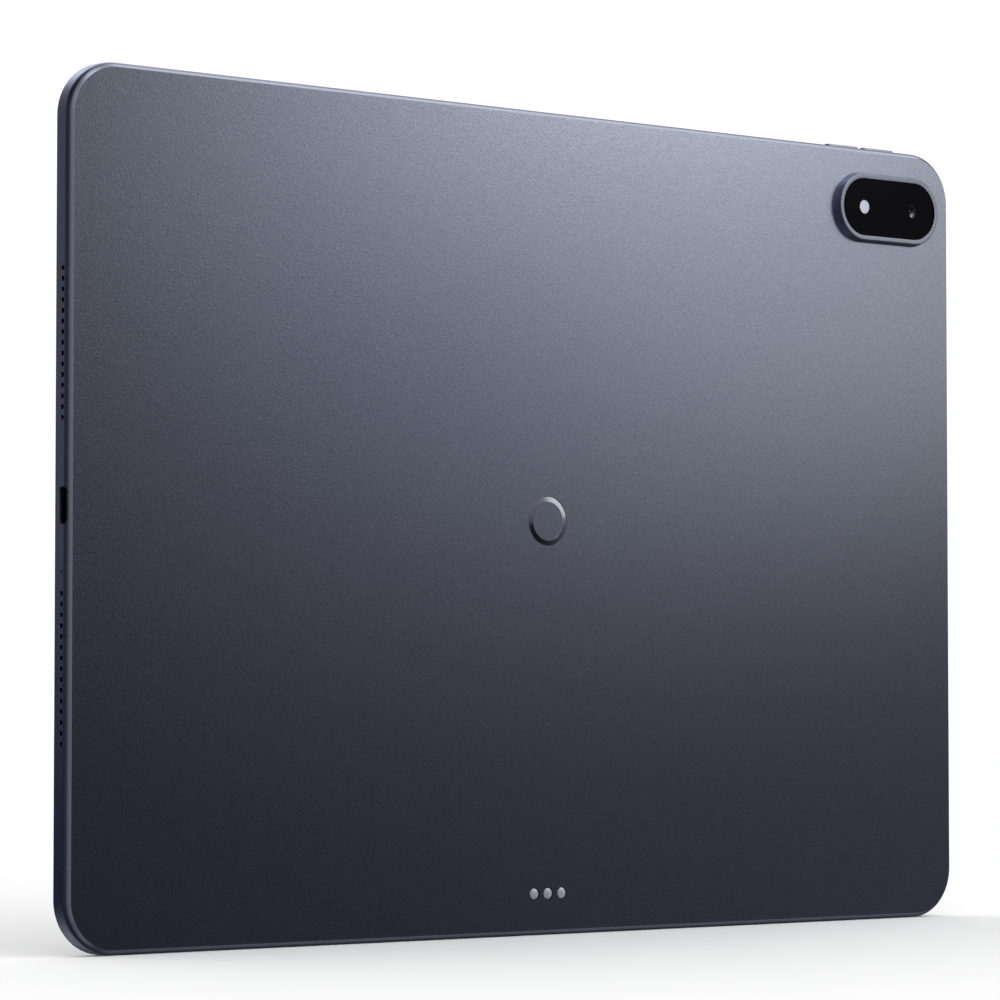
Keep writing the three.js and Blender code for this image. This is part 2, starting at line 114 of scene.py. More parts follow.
HOLE_PITCH = 2.5
HOLE_COUNT = 15
HOLE_RADIUS = 0.62
HOLE_Y = 0.3  # the row's place along Y
MICROPHONE_RADIUS = 0.35

PORT_MOUTH = (9.0, 3.2)
PORT_SHELL = (8.74, 2.96)
PORT_INSIDE = (8.34, 2.56)
PIN_COUNT = 12
PIN_PITCH = 0.5
PIN_WIDTH = 0.26
PIN_PROUD = 0.02  # as deep again in the tongue

KEY_CAP = (11.8, 2.0)
KEY_SLOT = (12.2, 2.4)

ISLAND = (37.2, 18.3)
ISLAND_GLASS = (33.8, 15.6)
LENS_WINDOW = 1.9  # radius
FLASH_WINDOW = 1.95  # radius
CAMERA_HOLE = 4.6  # radius, under the glass
FLASH_HOLE = 2.4  # radius, under the glass

CONTACT_RADIUS = 1.4
COLLAR_RADIUS = 1.6
EMBLEM_OUTER = 6.3
EMBLEM_INNER = 4.9

BODY = "body"

# ------------------------------------------------------------------ meshes


def place(axis, u, v, level):
    """A point of an outline's plane, at a level along its axis, in the shared frame."""
    spots = {"x": (level, u, v), "y": (u, level, v), "z": (u, v, level)}
    return CENTRE + Vector(spots[axis]) * MM


def outline(width, height, radius, u=0.0, v=0.0, steps=16):
    """A rounded rectangle as a function of how far it is pulled in."""

    def points(inset):
        made = []
        for quarter, (su, sv) in enumerate([(1, 1), (-1, 1), (-1, -1), (1, -1)]):
            centre_u = u + su * (width / 2 - radius)
            centre_v = v + sv * (height / 2 - radius)
            straight = (height if quarter % 2 else width) - 2 * radius
            last = steps + 1 if straight > 1e-6 else steps
            for k in range(last):
                angle = (quarter + k / steps) * pi / 2
                reach = radius - inset
                made.append((centre_u + reach * cos(angle), centre_v + reach * sin(angle)))
        return made

    return points


def circle(radius, u=0.0, v=0.0, steps=12):
    return outline(2 * radius, 2 * radius, radius, u, v, steps)


def pill(size, u=0.0, v=0.0, upright=False, steps=12):
    """A bar with round ends, along the outline's first axis or, upright, its second."""
    length, across = size
    width, height = (across, length) if upright else (length, across)
    return outline(width, height, across / 2, u, v, steps)


def arc(centre, radius, start, end, steps=6):
    """Profile points round a centre, in degrees: 0 is outwards and 90 is up the axis."""
    inset, level = centre
    turns = [radians(start + (end - start) * k / steps) for k in range(steps + 1)]
    return [(inset - radius * cos(t), level + radius * sin(t)) for t in turns]


def new_object(name, corners, faces, smooth=30):
    mesh = bpy.data.meshes.new(name)
    mesh.from_pydata([tuple(p) for p in corners], [], faces)
    piece = bpy.data.objects.new(name, mesh)
    bpy.context.scene.collection.objects.link(piece)
    tidy(piece, smooth)
    return piece


def tidy(piece, smooth=30):
    """Turns every face outwards and keeps edges sharper than an angle crisp."""
    made = bmesh.new()
    made.from_mesh(piece.data)
    bmesh.ops.recalc_face_normals(made, faces=made.faces)
    made.to_mesh(piece.data)
    made.free()
    piece.data.shade_smooth()
    piece.data.set_sharp_from_angle(angle=radians(smooth))


def loft(name, points, profile, axis="y", loop=False, smooth=30):
    """An outline carried through (inset, level) steps, capped, or closed into a ring."""
    rings = [[place(axis, u, v, level) for u, v in points(inset)] for inset, level in profile]
    size = len(rings[0])
    count = len(rings)
    faces = []
    for step in range(count if loop else count - 1):
        here = step * size
        there = (step + 1) % count * size
        for k in range(size):
            after = (k + 1) % size
            faces.append((here + k, here + after, there + after, there + k))
    if not loop:
        faces.append(tuple(reversed(range(size))))
        faces.append(tuple(range((count - 1) * size, count * size)))
    return new_object(name, [p for ring in rings for p in ring], faces, smooth)


def join(name, pieces):
    """Several closed meshes as one object."""
    made = bmesh.new()
    for piece in pieces:
        made.from_mesh(piece.data)
        bpy.data.objects.remove(piece)
    mesh = bpy.data.meshes.new(name)
    made.to_mesh(mesh)
    made.free()
    joined = bpy.data.objects.new(name, mesh)
    bpy.context.scene.collection.objects.link(joined)
    return joined


def combine(piece, others, operation="DIFFERENCE", smooth=30):
    """Cuts the other meshes out of a piece, or adds them to it."""
    tool = join("tool", others)
    modifier = piece.modifiers.new("combine", "BOOLEAN")
    modifier.operation = operation
    modifier.solver = "EXACT"
    modifier.object = tool
    shaped = piece.evaluated_get(bpy.context.evaluated_depsgraph_get())
    mesh = bpy.data.meshes.new_from_object(shaped)
    piece.modifiers.clear()
    piece.data = mesh
    bpy.data.objects.remove(tool)
    piece.data.shade_smooth()
    piece.data.set_sharp_from_angle(angle=radians(smooth))
    return piece


# ------------------------------------------------------------------ materials


def material(name, color, roughness, metallic=0.0, **sockets):
    """A Principled material; other sockets are given by name with _ for a space."""
    made = bpy.data.materials.new(name)
    made.use_nodes = True
    shader = made.node_tree.nodes["Principled BSDF"]
    shader.inputs["Base Color"].default_value = (*color, 1.0)
    shader.inputs["Roughness"].default_value = roughness
    shader.inputs["Metallic"].default_value = metallic
    for socket, value in sockets.items():
        shader.inputs[socket.replace("_", " ")].default_value = value
    return made


def add(made, kind, **values):
    """A new node in a material."""
    node = made.node_tree.nodes.new(kind)
    for key, value in values.items():
        setattr(node, key, value)
    return node


def wire(made, source, target):
    made.node_tree.links.new(source, target)


def noise(made, size_mm, detail=2.0, stretch=(1, 1, 1)):
    """A noise fixed to the object, with marks of a given size."""
    where = add(made, "ShaderNodeTexCoord")
    scaled = add(made, "ShaderNodeMapping")
    scaled.inputs["Scale"].default_value = [s / (size_mm * MM) for s in stretch]
    texture = add(made, "ShaderNodeTexNoise")
    texture.inputs["Scale"].default_value = 1.0
    texture.inputs["Detail"].default_value = detail
    wire(made, where.outputs["Object"], scaled.inputs["Vector"])
    wire(made, scaled.outputs["Vector"], texture.inputs["Vector"])
    return texture.outputs["Fac"]


def between(made, factor, low, high):
    """A number that follows a pattern from low to high."""
    node = add(made, "ShaderNodeMapRange")
    node.inputs["From Min"].default_value = NOISE_LOW
    node.inputs["From Max"].default_value = NOISE_HIGH
    node.inputs["To Min"].default_value = low
    node.inputs["To Max"].default_value = high
    wire(made, factor, node.inputs["Value"])
    return node.outputs["Result"]


def shader_of(made):
    return made.node_tree.nodes["Principled BSDF"]


def vary_roughness(made, factor, low, high):
    """Lets the roughness follow a pattern."""
    wire(made, between(made, factor, low, high), shader_of(made).inputs["Roughness"])
    return made


def vary_color(made, factor, low, high):
    """Lets the colour follow a pattern."""
    mix = add(made, "ShaderNodeMix", data_type="RGBA")
    mix.inputs["A"].default_value = (*low, 1.0)
    mix.inputs["B"].default_value = (*high, 1.0)
    wire(made, between(made, factor, 0.0, 1.0), mix.inputs["Factor"])
    wire(made, mix.outputs["Result"], shader_of(made).inputs["Base Color"])
    return made


def emboss(made, factor, depth_mm):
    """Raises the surface where a pattern is high, by at most a depth."""
    bump = add(made, "ShaderNodeBump")
    bump.inputs["Distance"].default_value = depth_mm * MM
    wire(made, factor, bump.inputs["Height"])
    wire(made, bump.outputs["Normal"], shader_of(made).inputs["Normal"])
    return made


def anodised(name="anodised", painted_shade_scale=1.0):
    """Bead-blasted aluminium under a blue-grey anodised film; a scale below 1 darkens all its
    colours as painted shade.
    """
    made = material(name, (0.5 * painted_shade_scale, 0.54 * painted_shade_scale, 0.66 * painted_shade_scale), 0.3, 1.0)
    grain = noise(made, 0.38, detail=3)
    dark = [painted_shade_scale * part for part in (0.41, 0.45, 0.57)]
    light = [painted_shade_scale * part for part in (0.59, 0.63, 0.75)]
    vary_color(made, grain, dark, light)
    vary_roughness(made, noise(made, 0.9), 0.28, 0.32)
    return emboss(made, grain, 0.036)


def polished_edge():
    """The same metal where a cutter has left it bright."""
    made = material("polished_edge", (0.62, 0.66, 0.78), 0.22, 1.0)
    vary_roughness(made, noise(made, 1.5), 0.19, 0.25)
    return emboss(made, noise(made, 0.2), 0.002)


def smooth_metal(name, color, roughness, metallic=1.0):
    """Polished or plated metal with the faintest orange peel."""
    made = material(name, color, roughness, metallic)
    vary_roughness(made, noise(made, 0.6), roughness - 0.03, roughness + 0.04)
    return emboss(made, noise(made, 1.2), 0.001)


def screen_glass():
    """Black cover glass: an ink border round a slightly lighter display, with faint smears."""
    made = material("screen_glass", (0.004, 0.004, 0.005), 0.04, IOR=1.52)
    smears = noise(made, 30, detail=4, stretch=(1, 1, 0.5))
    vary_roughness(made, smears, 0.03, 0.065)
    low, high = map(Vector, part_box("display_panel"))
    where = add(made, "ShaderNodeTexCoord")
    parts = add(made, "ShaderNodeSeparateXYZ")
    wire(made, where.outputs["Object"], parts.inputs["Vector"])
    inside = None
    for axis in (0, 2):
        compare = add(made, "ShaderNodeMath", operation="COMPARE")
        compare.inputs[1].default_value = (low[axis] + high[axis]) / 2
        compare.inputs[2].default_value = (high[axis] - low[axis]) / 2
        wire(made, parts.outputs[axis], compare.inputs[0])
        if inside is None:
            inside = compare.outputs[0]
        else:
            both = add(made, "ShaderNodeMath", operation="MULTIPLY")
            wire(made, inside, both.inputs[0])
            wire(made, compare.outputs[0], both.inputs[1])
            inside = both.outputs[0]
    mix = add(made, "ShaderNodeMix", data_type="RGBA")
    mix.inputs["A"].default_value = (0.002, 0.002, 0.0025, 1.0)
    mix.inputs["B"].default_value = (0.007, 0.0075, 0.009, 1.0)
    wire(made, inside, mix.inputs["Factor"])
    wire(made, mix.outputs["Result"], shader_of(made).inputs["Base Color"])
    return made


def camera_glass():
    """Glass with black ink on its back and a coating that dims its reflections."""
    made = material("camera_glass", (0.003, 0.003, 0.004), 0.1, IOR=1.5, Specular_IOR_Level=0.02)
    return vary_roughness(made, noise(made, 6, detail=3), 0.08, 0.13)


def lens_coating():
    """Coated glass of a camera lens: near black with a violet cast."""
    made = material("lens_coating", (0.006, 0.006, 0.016), 0.03, IOR=1.7)
    return vary_color(made, noise(made, 3), (0.004, 0.004, 0.012), (0.012, 0.009, 0.028))


def moulded(name, color=(0.012, 0.012, 0.014), roughness=0.5):
    """Fine-textured moulded plastic."""
    made = material(name, color, roughness)
    vary_roughness(made, noise(made, 0.7), roughness - 0.06, roughness + 0.08)
    return emboss(made, noise(made, 0.25), 0.006)


def diffuser():
    """Milky flash lens with a fine uneven surface."""
    made = material("diffuser", (0.46, 0.49, 0.58), 0.25)
    vary_color(made, noise(made, 0.5), (0.42, 0.45, 0.54), (0.5, 0.53, 0.62))
    return emboss(made, noise(made, 0.3), 0.01)


def sheet_metal(name, color=(0.6, 0.61, 0.63), roughness=0.3):
    """Pressed or plated sheet metal with a fine uneven finish."""
    made = material(name, color, roughness, 1.0)
    vary_roughness(made, noise(made, 0.5), roughness - 0.07, roughness + 0.1)
    return emboss(made, noise(made, 0.4), 0.004)


def woven_screen():
    """Fine wire cloth behind the sound holes."""
    made = material("woven_screen", (0.05, 0.05, 0.055), 0.5, 0.8)
    where = add(made, "ShaderNodeTexCoord")
    heights = []
    for turn in (45, -45):
        mapped = add(made, "ShaderNodeMapping")
        mapped.inputs["Rotation"].default_value = (radians(turn), 0, 0)
        wave = add(made, "ShaderNodeTexWave", bands_direction="Y")
        wave.inputs["Scale"].default_value = 1.6 / MM
        wire(made, where.outputs["Object"], mapped.inputs["Vector"])
        wire(made, mapped.outputs["Vector"], wave.inputs["Vector"])
        heights.append(wave.outputs["Fac"])
    both = add(made, "ShaderNodeMath", operation="MAXIMUM")
    wire(made, heights[0], both.inputs[0])
    wire(made, heights[1], both.inputs[1])
    vary_color(made, both.outputs[0], (0.008, 0.008, 0.01), (0.09, 0.09, 0.1))
    return emboss(made, both.outputs[0], 0.05)


def circuit_board():
    """Dark green solder mask over fine copper tracks."""
    made = material("circuit_board", (0.01, 0.07, 0.05), 0.35)
    tracks = noise(made, 1.2, detail=0, stretch=(1, 1, 0.25))
    vary_color(made, tracks, (0.006, 0.05, 0.035), (0.02, 0.11, 0.08))
    return emboss(made, tracks, 0.02)


def film(name, dark, light, roughness):
    """Thin flexible film with a faint lengthwise pattern."""
    made = material(name, light, roughness)
    lines = noise(made, 0.6, detail=0, stretch=(1, 1, 0.1))
    vary_color(made, lines, dark, light)
    return emboss(made, lines, 0.01)


def pouch():
    """Slack laminated foil round a battery cell."""
    made = material("pouch", (0.02, 0.02, 0.022), 0.4)
    vary_roughness(made, noise(made, 8, detail=4), 0.32, 0.5)
    return emboss(made, noise(made, 12, detail=3), 0.15)


LOOKS = {
    "anodised": anodised(),
    # The camera surround is the back's own metal darkened to 0.76: painted shade, not a different
    # metal.
    "island": anodised("anodised_island_painted_shade", 0.76),
    "polished": polished_edge(),
    "mirror": smooth_metal("emblem_metal", (0.84, 0.86, 0.93), 0.13),
    "contact": smooth_metal("contact_metal", (0.88, 0.9, 0.97), 0.36, 0.75),
    "screen": screen_glass(),
    "camera_glass": camera_glass(),
    "lens": lens_coating(),
    "black": moulded("black_plastic"),
    "lens_tube": moulded("lens_tube", (0.06, 0.062, 0.07), 0.5),
    "lens_cone": sheet_metal("lens_cone", (0.2, 0.205, 0.25), 0.24),
    "diffuser": diffuser(),
    "steel": sheet_metal("pressed_steel"),
    "dark_steel": sheet_metal("port_steel", (0.2, 0.2, 0.215), 0.35),
    "magnet": sheet_metal("nickel", (0.5, 0.5, 0.5), 0.25),
    "screw": sheet_metal("screw_steel", (0.45, 0.45, 0.46), 0.35),
    "gold": sheet_metal("gold_plate", (0.75, 0.55, 0.25), 0.25),
    "screen_cloth": woven_screen(),
    "board": circuit_board(),
    "flex": film("polyimide", (0.16, 0.06, 0.015), (0.26, 0.11, 0.03), 0.35),
    "graphite": film("graphite", (0.02, 0.02, 0.02), (0.05, 0.05, 0.052), 0.55),
    "panel": film("lcd_cell", (0.008, 0.008, 0.01), (0.014, 0.014, 0.018), 0.12),
    "white": film("light_guide", (0.72, 0.73, 0.74), (0.82, 0.83, 0.84), 0.4),
    "chip": moulded("chip_package", (0.015, 0.015, 0.016), 0.45),
    "pouch": pouch(),
}


def finish_piece(piece, body, look, slot, *nodes):
    """Gives a new piece its material and its body, and hides the CAD nodes it stands for; slot is
    not used.
    """
    piece.data.materials.clear()
    piece.data.materials.append(LOOKS[look])
    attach(piece, body)
    if nodes:
        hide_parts(*nodes)
    return piece


# ------------------------------------------------------------------ housing


def sound_holes():
    """A cutter for each sound hole, with a slight countersink at its mouth."""
    made = []
    sides = {"right": 1, "left": -1}
    for name, side in sides.items():
        for level in ("upper", "lower"):
            node = f"speaker_mesh_{name}_{level}"
            group = local(middle(node)).z
            for k in range(HOLE_COUNT):
                z = group + (k - (HOLE_COUNT - 1) / 2) * HOLE_PITCH
                made.append(drill(HOLE_RADIUS, HOLE_Y, z, side))
    return made


def drill(radius, y, z, side, sink=0.06):
    """A cutter that enters a short edge from outside and ends in the cavity."""
    outside = side * WIDTH / 2
    deep = outside - side * (WALL + BEYOND)
    profile = [(0, deep), (0, outside - side * sink), (-2 * sink, outside + side * sink)]
    return loft("hole", circle(radius, y, z, steps=6), profile, axis="x")


def key_places():
    """Each key's node, the axis that it is pressed along, its place and its outward side."""
    return [
        ("volume_up_key", "volume_up", "z", local(middle("volume_up_key")).x, 1),
        ("volume_down_key", "volume_down", "z", local(middle("volume_down_key")).x, 1),
        ("power_key", "power", "x", local(middle("power_key")).z, -1),
    ]


def key_outline(size, axis, at, steps=12):
    """A pill that lies along the edge that its key is in."""
    if axis == "z":
        return pill(size, at, 0, steps=steps)
    return pill(size, 0, at, upright=True, steps=steps)


def housing():
    """The milled tray: rim, flat sides, a soft shoulder, a bright chamfer and a flat back."""
    bevel = 0.08
    rounding = 0.5
    chamfer_inset = SHOULDER_RADIUS * (1 - cos(radians(SHOULDER_TURN)))
    start = CHAMFER_FRONT - SHOULDER_RADIUS * sin(radians(SHOULDER_TURN))
    back_inset = chamfer_inset + CHAMFER_WIDTH
    profile = [
        (WALL, INNER_BACK),
        (WALL, LEDGE),
        (LIP_INSET, LEDGE),
        (LIP_INSET, RIM + bevel),
        (LIP_INSET - bevel, RIM),
        (rounding + 0.05, RIM),
        *arc((rounding, RIM + rounding), rounding, -90, 0),
        (0, RIM + rounding + 0.1),
        (0, start - 0.1),
        *arc((SHOULDER_RADIUS, start), SHOULDER_RADIUS, 0, SHOULDER_TURN, steps=5),
        (back_inset, BACK),
        (back_inset + 0.15, BACK),
    ]
    body = outline(WIDTH, HEIGHT, CORNER, steps=32)
    made = loft("housing", body, profile, smooth=18)
    made.data.materials.append(LOOKS["anodised"])
    made.data.materials.append(LOOKS["polished"])
    mark_chamfer(made)

    cutters = sound_holes()
    microphone = local(middle("microphone")).z
    cutters.append(drill(MICROPHONE_RADIUS, HOLE_Y, microphone, 1, sink=0.04))
    mouth = local(middle("port_shell")).y
    side = WIDTH / 2
    port = [(0, side - WALL - BEYOND), (0, side - 0.12), (-0.24, side + 0.12)]
    cutters.append(loft("mouth", pill(PORT_MOUTH, mouth, 0, upright=True), port, axis="x"))
    for _, _, axis, at, way in key_places():
        edge = way * (HEIGHT if axis == "z" else WIDTH) / 2
        sink = way * 0.08
        slot = [(0, edge - way * (WALL + BEYOND)), (0, edge - sink), (-0.16, edge + sink)]
        cutters.append(loft("slot", key_outline(KEY_SLOT, axis, at), slot, axis=axis))
    through = [(0, INNER_BACK - BEYOND), (0, BACK + BEYOND)]
    for node, radius in (("camera_module", CAMERA_HOLE), ("flash_lens", FLASH_HOLE)):
        at = local(middle(node))
        cutters.append(loft("hole", circle(radius, at.x, at.z), through))
    for at in contact_places():
        cutters.append(loft("hole", circle(COLLAR_RADIUS + 0.05, at.x, at.z), through))
    cutters.append(emblem_groove())
    combine(made, cutters, smooth=18)
    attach(made, BODY)
    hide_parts("rear_housing")


def emblem_groove():
    """A cutter for the emblem's groove, slightly wider and deeper than the ring."""
    at = local(middle("emblem_ring"))
    room = 0.03
    floor_level = BACK - 0.32
    above = BACK + 0.5
    inner = EMBLEM_OUTER - EMBLEM_INNER + room
    section = [(-room, floor_level), (-room, above), (inner, above), (inner, floor_level)]
    return loft("groove", circle(EMBLEM_OUTER, at.x, at.z, steps=24), section, loop=True)


def mark_chamfer(made):
    """Gives the sloping ring of faces round the back the polished metal."""
    over_shoulder, under_back = 0.7, 0.95  # bounds on how far a face turns to the back
    for face in made.data.polygons:
        behind_shoulder = local(face.center).y > CHAMFER_FRONT
        if behind_shoulder and over_shoulder < abs(face.normal.y) < under_back:
            face.material_index = 1


# ------------------------------------------------------------------ screen


def screen():
    """The cover glass, the plastic lip round it and the front camera's window."""
    depth = span("cover_glass", 1)[1]
    edge = 0.35
    profile = [
        (0.05, depth),
        (0, depth - 0.05),
        *arc((edge, FRONT + edge), edge, 0, -90),
        (edge + 0.1, FRONT),
    ]
    pane = outline(
        WIDTH - 2 * GLASS_INSET, HEIGHT - 2 * GLASS_INSET, CORNER - GLASS_INSET, steps=32
    )
    glass = loft("screen_glass", pane, profile)
    camera = local(middle("front_camera_module"))
    window = [(0, depth + BEYOND), (0, FRONT - BEYOND)]
    combine(glass, [loft("window", circle(FRONT_WINDOW + 0.03, camera.x, camera.z), window)])
    finish_piece(glass, BODY, "screen", "front_glass", "cover_glass")

    lip = outline(WIDTH, HEIGHT, CORNER, steps=32)
    outer = LIP_INSET + 0.1
    throat = GLASS_INSET - 0.08
    shelf = 2.6
    under_glass = -2.1
    foot = LEDGE - 0.05
    section = [
        (outer, RIM),
        (outer, foot),
        (shelf, foot),
        (shelf, under_glass),
        (throat, under_glass),
        (throat, RIM),
    ]
    band = loft("display_lip", lip, section, loop=True)
    finish_piece(band, BODY, "black", "frame_plastic", "display_frame")

    rings = [
        (0, FRONT + 0.85),
        (0, FRONT + 0.06),
        (0.05, FRONT + 0.02),
        (0.35, FRONT + 0.02),
        (0.42, FRONT + 0.06),
        (0.8, FRONT + 0.07),
        (1.1, FRONT + 0.1),
    ]
    pupil = circle(FRONT_WINDOW, camera.x, camera.z, steps=16)
    lens = loft("front_camera_window", pupil, rings)
    finish_piece(lens, BODY, "lens", "camera_glass")


# ------------------------------------------------------------------ rear camera


def rear_camera():
    """The raised surround, its glass with two windows, and the flash."""
    at = local(middle("camera_island_ring"))
    top = span("camera_island_ring", 1)[1]
    lens = local(middle("lens_element"))
    flash = local(middle("flash_lens"))
    glass_bottom, glass_top = span("camera_cover_glass", 1)
    seat = glass_bottom - 0.03
    spread = 0.45  # how far the wall leans out down to its foot
    rounding = 0.35
    inner = (ISLAND[1] - ISLAND_GLASS[1]) / 2
    profile = [
        (inner, seat),
        (inner, top - 0.07),
        (inner - 0.05, top - 0.02),
        (inner - 0.2, top),
        (rounding + 0.05, top),
        *reversed(arc((rounding, top - rounding), rounding, 15, 90, steps=8)),
        (-spread, BACK + 0.02),
        (-spread, BACK + 0.01),
        (inner, BACK + 0.01),
    ]
    ring = loft("camera_surround", pill(ISLAND, at.x, at.z, steps=32), profile, loop=True)
    # The whole surround, wall included, takes the darkened copy of the back's metal: painted
    # shade.
    finish_piece(ring, BODY, "island", "anodised_body", "camera_island_ring")

    gap = 0.06
    plate = [
        (2 * gap, glass_bottom),
        (gap, glass_bottom + gap),
        (gap, glass_top - 0.1),
        (gap + 0.1, glass_top),
        (gap + 0.24, glass_top),
    ]
    glass = loft("camera_glass", pill(ISLAND_GLASS, at.x, at.z, steps=32), plate)
    holes = []
    through = [(0, BACK - BEYOND), (0, glass_top + BEYOND)]
    for where, radius in ((lens, LENS_WINDOW), (flash, FLASH_WINDOW)):
        holes.append(loft("hole", circle(radius, where.x, where.z, steps=16), through))
    combine(glass, holes)
    finish_piece(glass, BODY, "camera_glass", "camera_glass", "camera_cover_glass")

    radius = FLASH_WINDOW - 0.05
    flush = glass_top - 0.25
    dome = [(0, INNER_BACK + 0.05), (0, flush - 0.1), (0.1, flush), (0.5, flush), (0.9, flush)]
    lamp = loft("flash", circle(radius, flash.x, flash.z, steps=16), dome)
    finish_piece(lamp, BODY, "diffuser", "flash_diffuser", "flash_lens")
    rear_lens(lens)


def rear_lens(at):
    """The moving lens barrel: a dark tube, a hollow metal cone in it and a small domed element."""
    low, high = span("focus_barrel", 1)
    radius = 3.05
    mouth = 1.82
    pupil = 0.55
    bulge = 0.25
    ledge = high - 0.06
    tube = [
        (0, low),
        (0, high - 0.1),
        (0.1, high),
        (radius - mouth - 0.05, high),
        (radius - mouth, high - 0.05),
        (radius - mouth, ledge - 0.4),
        (radius - 0.2, ledge - 0.4),
    ]
    barrel = loft("lens_barrel", circle(radius, at.x, at.z, steps=24), tube)
    finish_piece(barrel, "focus_carrier", "lens_tube", "frame_plastic", "focus_barrel")
    cone = [
        (0, ledge - 0.35),
        (0, ledge - 0.03),
        (0.03, ledge),
        (mouth - pupil - 0.05, ledge - 0.2),
        (mouth - pupil, ledge - 0.24),
        (mouth - pupil, ledge - 0.35),
    ]
    ring = loft("lens_ring", circle(mouth - 0.03, at.x, at.z, steps=24), cone, loop=True)
    finish_piece(ring, "focus_carrier", "lens_cone", "frame_plastic")
    turns = [radians(10 * k) for k in range(1, 9)]
    sphere = [
        (0, ledge - 0.38),
        (0, ledge - bulge),
        *[(pupil * (1 - cos(t)), ledge - bulge * (1 - sin(t))) for t in turns],
    ]
    element = loft("lens_front", circle(pupil - 0.03, at.x, at.z, steps=24), sphere, smooth=40)
    finish_piece(element, "focus_carrier", "lens", "camera_glass", "lens_element")


# ------------------------------------------------------------------ keys


def keys():
    """Each key: a pill with a rounded crown, kept in by a flange inside the wall."""
    rounding = 0.35
    flange = 0.4
    turns = [radians(15 * k) for k in range(7)]
    for node, body, axis, at, way in key_places():
        index = 2 if axis == "z" else 0
        tip = span(node, index)[1 if way > 0 else 0]
        edge = way * (HEIGHT if axis == "z" else WIDTH) / 2
        crown = [(rounding * (1 - sin(t)), tip - way * rounding * (1 - cos(t))) for t in turns]
        cap = [
            (rounding + 0.25, tip),
            *crown,
            (0, edge - way * (WALL + 0.05)),
            (-flange, edge - way * (WALL + 0.1)),
            (-flange, edge - way * (WALL + 0.7)),
        ]
        made = loft(node + "_cap", key_outline(KEY_CAP, axis, at, steps=16), cap, axis=axis)
        finish_piece(made, body, "anodised", "anodised_body", node)


# ------------------------------------------------------------------ charging port


def port():
    """The port's steel liner, and its tongue with twelve gold contacts on each face."""
    low, high = span("port_shell", 0)
    y = local(middle("port_shell")).y
    wall = (PORT_SHELL[1] - PORT_INSIDE[1]) / 2
    tube = [
        (0, low),
        (0, high - 0.06),
        (0.06, high),
        (wall - 0.06, high),
        (wall, high - 0.06),
        (wall, low + 0.6),
    ]
    shell = loft("port_liner", pill(PORT_SHELL, y, 0, upright=True, steps=16), tube, axis="x")
    finish_piece(shell, BODY, "dark_steel", "port_steel", "port_shell")

    start, end = span("port_tongue", 0)
    front, rear = span("port_tongue", 1)
    foot, head = span("port_tongue", 2)
    thickness = rear - front - 0.06
    blade = outline(thickness, head - foot, 0.15, y, 0, steps=4)
    tip = [(0, start), (0, end - 0.2), (0.06, end - 0.06), (0.13, end)]
    tongue = loft("port_blade", blade, tip, axis="x")
    finish_piece(tongue, BODY, "black", "port_plastic", "port_tongue")

    pins = []
    for side in (-1, 1):
        face = y + side * thickness / 2
        for k in range(PIN_COUNT):
            z = (k - (PIN_COUNT - 1) / 2) * PIN_PITCH
            pin = outline(2 * PIN_PROUD, PIN_WIDTH, 0.015, face, z, steps=2)
            pins.append(loft("pin", pin, [(0, start + 1.5), (0, end - 0.45)], axis="x"))
    pins = join("port_pins", pins)
    finish_piece(pins, BODY, "gold", "contact_metal")


# ------------------------------------------------------------------ contacts and emblem


def contact_places():
    """The middles of the three pads."""
    return [local(middle(f"contact_pad_{k}")) for k in (1, 2, 3)]


def contacts():
    """Three domed pads, each in a collar of the moulded block behind them."""
    low, top = span("contact_pad_1", 1)
    block_low, block_high = span("contact_carrier", 0)
    base, _ = span("contact_carrier", 1)
    foot, head = span("contact_carrier", 2)
    at = contact_places()
    carrier = loft(
        "contact_block",
        outline(block_high - block_low, head - foot, 0.5, at[1].x, at[1].z, steps=4),
        [(0, base), (0, INNER_BACK - 0.05)],
    )
    flush = BACK - 0.02
    rise = [(0, base + 0.3), (0, flush - 0.04), (0.05, flush), (0.2, flush)]
    collars = [loft("collar", circle(COLLAR_RADIUS, p.x, p.z, steps=16), rise) for p in at]
    combine(carrier, collars, "UNION")
    room = CONTACT_RADIUS + 0.05
    bore = [(0, low - 0.05), (0, BACK + BEYOND)]
    sockets = [loft("socket", circle(room, p.x, p.z, steps=16), bore) for p in at]
    combine(carrier, sockets)
    finish_piece(carrier, BODY, "black", "frame_plastic", "contact_carrier")
    slope = radians(22)  # of the dome at its rim
    ball = CONTACT_RADIUS / sin(slope)
    turns = [slope * (1 - k / 8) for k in range(8)]
    for k, p in enumerate(at, start=1):
        dome = [
            (0, low),
            *[(CONTACT_RADIUS - ball * sin(t), top - ball * (1 - cos(t))) for t in turns],
        ]
        pad = loft(f"contact_{k}", circle(CONTACT_RADIUS, p.x, p.z, steps=16), dome, smooth=50)
        finish_piece(pad, BODY, "contact", "contact_metal", f"contact_pad_{k}")


def emblem():
    """A plain polished ring let into the back, its face a shallow cone that falls outwards."""
    at = local(middle("emblem_ring"))
    low, high = span("emblem_ring", 1)
    band = EMBLEM_OUTER - EMBLEM_INNER
    edge = 0.05
    fall = 0.14
    section = [
        (0, low),
        (0, high - fall - edge),
        (edge, high - fall),
        (band - edge, high),
        (band, high - edge),
        (band, low),
    ]
    ring = loft("emblem", circle(EMBLEM_OUTER, at.x, at.z, steps=32), section, loop=True)
    finish_piece(ring, BODY, "mirror", "emblem_metal", "emblem_ring")


# ------------------------------------------------------------------ CAD nodes that stay

SLOT_LOOKS = {
    "frame_plastic": "black",
    "speaker_plastic": "black",
    "speaker_screen": "screen_cloth",
    "lcd": "panel",
    "backlight": "white",
    "led": "diffuser",
    "circuit_board": "board",
    "flex_circuit": "flex",
    "chip": "chip",
    "shield": "steel",
    "graphite": "graphite",
    "battery_pouch": "pouch",
    "magnet": "magnet",
    "screws": "screw",
}


